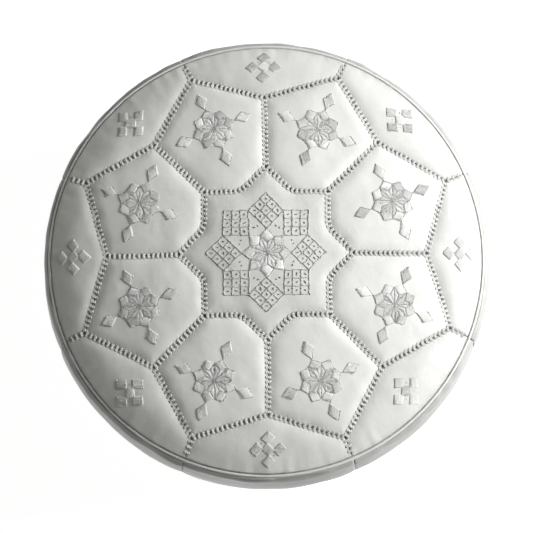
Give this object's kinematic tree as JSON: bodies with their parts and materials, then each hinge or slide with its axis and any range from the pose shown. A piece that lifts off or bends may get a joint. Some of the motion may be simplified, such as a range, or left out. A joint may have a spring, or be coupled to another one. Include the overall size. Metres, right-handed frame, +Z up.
{
  "type": "moroccan leather pouf",
  "caption": "Round stuffed leather floor pouf: embroidered panelled top with hand-stitched seams, piped rim, plain side panels and a zipped base.",
  "frame": {"origin": "centre of the floor the pouf stands on", "axes": "+Z up through the middle of the top; X along the zip in the base, +X towards its closed end; a star point of the top lies on +X"},
  "size_m": [0.52, 0.52, 0.3],
  "materials": {
    "top_leather": "white goat leather with a soft satin sheen and fine grain",
    "side_leather": "white goat leather with a soft satin sheen and fine grain",
    "base_leather": "white leather, slightly duller and scuffed",
    "piping_leather": "white leather strip, satin",
    "seam_thread": "thick white twisted thread",
    "embroidery_thread": "glossy white embroidery thread in satin stitch",
    "cord": "cotton piping cord",
    "liner_cotton": "plain woven cotton",
    "stuffing": "loose fibre stuffing",
    "zip_tape": "woven polyester tape",
    "zip_coil": "nylon monofilament coil",
    "zip_metal": "nickel plated, lightly worn"
  },
  "bodies": {
    "pouf": {"top_star_panel": "top_leather", "top_kite_panel_1": "top_leather", "top_kite_panel_2": "top_leather", "top_kite_panel_3": "top_leather", "top_kite_panel_4": "top_leather", "top_kite_panel_5": "top_leather", "top_kite_panel_6": "top_leather", "top_kite_panel_7": "top_leather", "top_kite_panel_8": "top_leather", "top_edge_panel_1": "top_leather", "top_edge_panel_2": "top_leather", "top_edge_panel_3": "top_leather", "top_edge_panel_4": "top_leather", "top_edge_panel_5": "top_leather", "top_edge_panel_6": "top_leather", "top_edge_panel_7": "top_leather", "top_edge_panel_8": "top_leather", "side_panel_1": "side_leather", "side_panel_2": "side_leather", "side_panel_3": "side_leather", "side_panel_4": "side_leather", "side_panel_5": "side_leather", "side_panel_6": "side_leather", "side_panel_7": "side_leather", "side_panel_8": "side_leather", "base_panel_front": "base_leather", "base_panel_rear": "base_leather", "base_end_panel_right": "base_leather", "base_end_panel_left": "base_leather", "zip_facing_front": "base_leather", "zip_facing_rear": "base_leather", "star_seam_stitching": "seam_thread", "spoke_seam_stitching": "seam_thread", "zigzag_seam_stitching": "seam_thread", "rim_seam_stitching": "seam_thread", "rosette_embroidery_1": "embroidery_thread", "rosette_embroidery_2": "embroidery_thread", "rosette_embroidery_3": "embroidery_thread", "rosette_embroidery_4": "embroidery_thread", "rosette_embroidery_5": "embroidery_thread", "rosette_embroidery_6": "embroidery_thread", "rosette_embroidery_7": "embroidery_thread", "rosette_embroidery_8": "embroidery_thread", "centre_embroidery": "embroidery_thread", "edge_embroidery": "embroidery_thread", "top_piping": "piping_leather", "foot_piping": "piping_leather", "top_piping_cord": "cord", "foot_piping_cord": "cord", "liner_bag": "liner_cotton", "stuffing": "stuffing", "zip_tape_front": "zip_tape", "zip_tape_rear": "zip_tape", "zip_coil_front": "zip_coil", "zip_coil_rear": "zip_coil", "zip_top_stops": "zip_metal", "zip_bottom_stop": "zip_metal"},
    "slider": {"zip_slider": "zip_metal"},
    "pull": {"zip_pull": "zip_metal"}
  },
  "joints": [
    {"name": "zip_slide", "type": "slide", "parent": "pouf", "child": "slider", "axis": [-1, 0, 0], "range_m": [0, 0.264]},
    {"name": "pull_hinge", "type": "hinge", "parent": "slider", "child": "pull", "pos_m": [0.132, 0, 0.0038], "axis": [0, -1, 0], "range_deg": [-5, 165]}
  ]
}
